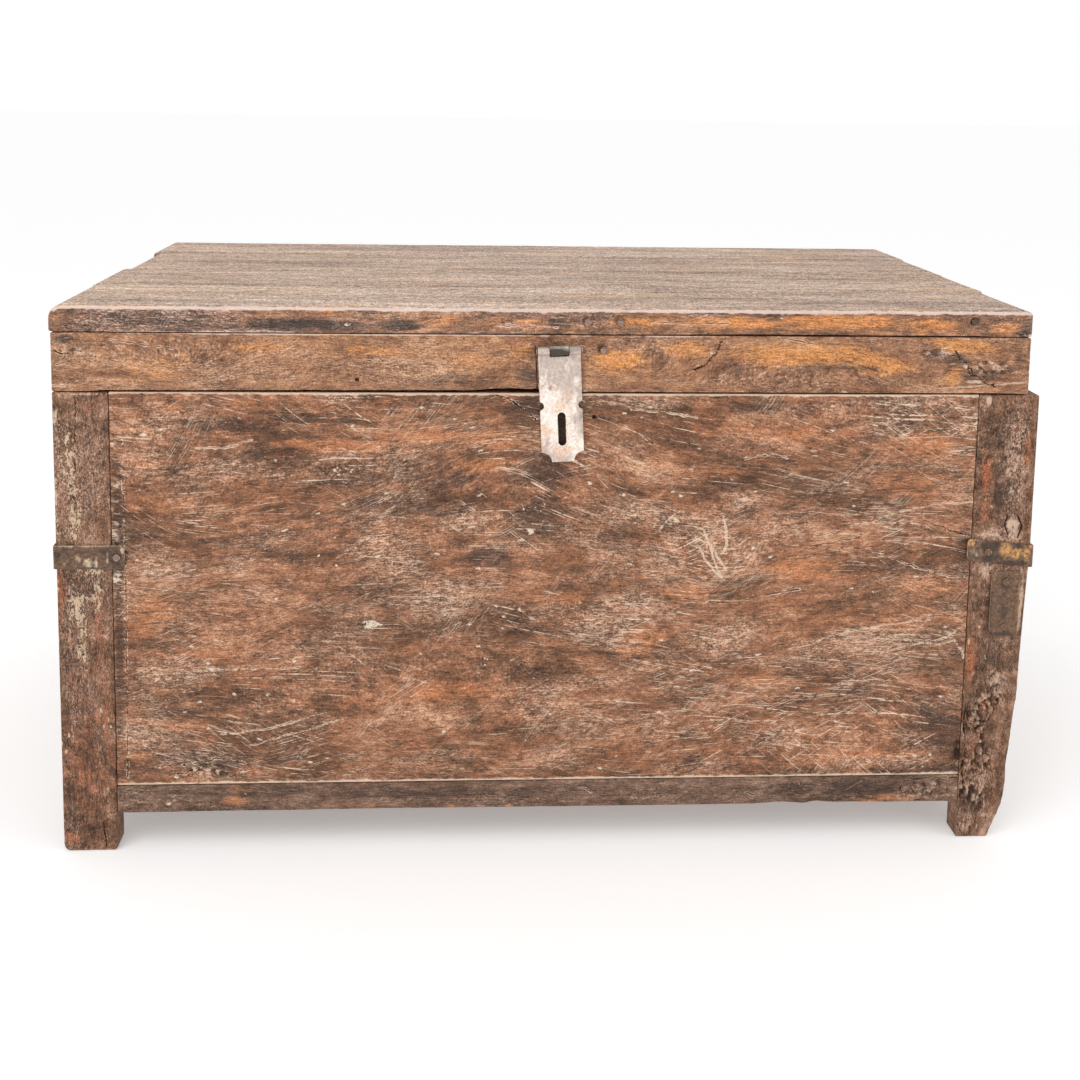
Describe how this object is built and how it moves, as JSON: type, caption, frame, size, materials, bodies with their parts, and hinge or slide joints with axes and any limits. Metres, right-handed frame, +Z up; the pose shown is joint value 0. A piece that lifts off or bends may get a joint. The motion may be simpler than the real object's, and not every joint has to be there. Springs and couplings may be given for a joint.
{
  "type": "storage chest",
  "caption": "Low rectangular plank chest on post feet with a hinged flat lid, hanging slotted iron hasp and iron corner straps, for storing clothes or linen.",
  "frame": {"origin": "on the floor, under the middle of the bounding box", "axes": "+X to the right along the front, -Y out of the front, +Z up"},
  "size_m": [0.978, 0.5696, 0.5525],
  "materials": {
    "body_wood": "worn dark reddish brown hardwood, dull, scuffed, with pale dust in the grain",
    "lid_wood": "weathered greyish brown hardwood, orange brown where rubbed, dull",
    "floor_wood": "dry unfinished brown hardwood",
    "strap_iron": "old olive brown patina with ochre rust",
    "nail_iron": "dark rusted iron",
    "hinge_iron": "dark wrought iron",
    "hasp_steel": "rubbed pale steel with faint pink rust"
  },
  "bodies": {
    "chest": {"front_left_post": "body_wood", "front_right_post": "body_wood", "rear_left_post": "body_wood", "rear_right_post": "body_wood", "front_panel": "body_wood", "rear_lower_board": "body_wood", "rear_upper_board": "body_wood", "left_lower_board": "body_wood", "left_upper_board": "body_wood", "right_lower_board": "body_wood", "right_upper_board": "body_wood", "front_rail": "body_wood", "rear_rail": "body_wood", "left_rail": "body_wood", "right_rail": "body_wood", "floor_board_1": "floor_wood", "floor_board_2": "floor_wood", "floor_board_3": "floor_wood", "floor_board_4": "floor_wood", "floor_board_5": "floor_wood", "front_left_strap": "strap_iron", "front_right_strap": "strap_iron", "rear_left_strap": "strap_iron", "rear_right_strap": "strap_iron", "repair_plate": "strap_iron", "front_left_strap_face_nail": "nail_iron", "front_left_strap_side_nail": "nail_iron", "front_right_strap_face_nail": "nail_iron", "front_right_strap_side_nail": "nail_iron", "rear_left_strap_face_nail": "nail_iron", "rear_left_strap_side_nail": "nail_iron", "rear_right_strap_face_nail": "nail_iron", "rear_right_strap_side_nail": "nail_iron", "plate_upper_nail": "nail_iron", "plate_lower_nail": "nail_iron", "left_hinge_chest_leaf": "hinge_iron", "right_hinge_chest_leaf": "hinge_iron", "left_hinge_pin": "hinge_iron", "right_hinge_pin": "hinge_iron"},
    "lid": {"lid_top_board_1": "lid_wood", "lid_top_board_2": "lid_wood", "lid_top_board_3": "lid_wood", "lid_top_board_4": "lid_wood", "lid_front_apron": "lid_wood", "lid_rear_apron": "lid_wood", "lid_left_apron": "lid_wood", "lid_right_apron": "lid_wood", "lid_batten": "lid_wood", "left_hinge_lid_leaf": "hinge_iron", "right_hinge_lid_leaf": "hinge_iron", "hasp_leaf": "hasp_steel", "hasp_pin": "hasp_steel", "lid_board_nail_1": "nail_iron", "lid_board_nail_2": "nail_iron", "lid_apron_nail": "nail_iron", "lid_sunk_nail": "nail_iron", "hasp_left_nail": "nail_iron", "hasp_right_nail": "nail_iron"},
    "hasp": {"hasp_strap": "hasp_steel"}
  },
  "joints": [
    {"name": "lid_hinge", "type": "hinge", "parent": "chest", "child": "lid", "pos_m": [0, 0.2798, 0.4682], "axis": [-1, 0, 0], "range_deg": [0, 110]},
    {"name": "hasp_hinge", "type": "hinge", "parent": "lid", "child": "hasp", "pos_m": [0.002, -0.2803, 0.512], "axis": [-0.9986, 0, -0.0523], "range_deg": [0, 175]}
  ]
}
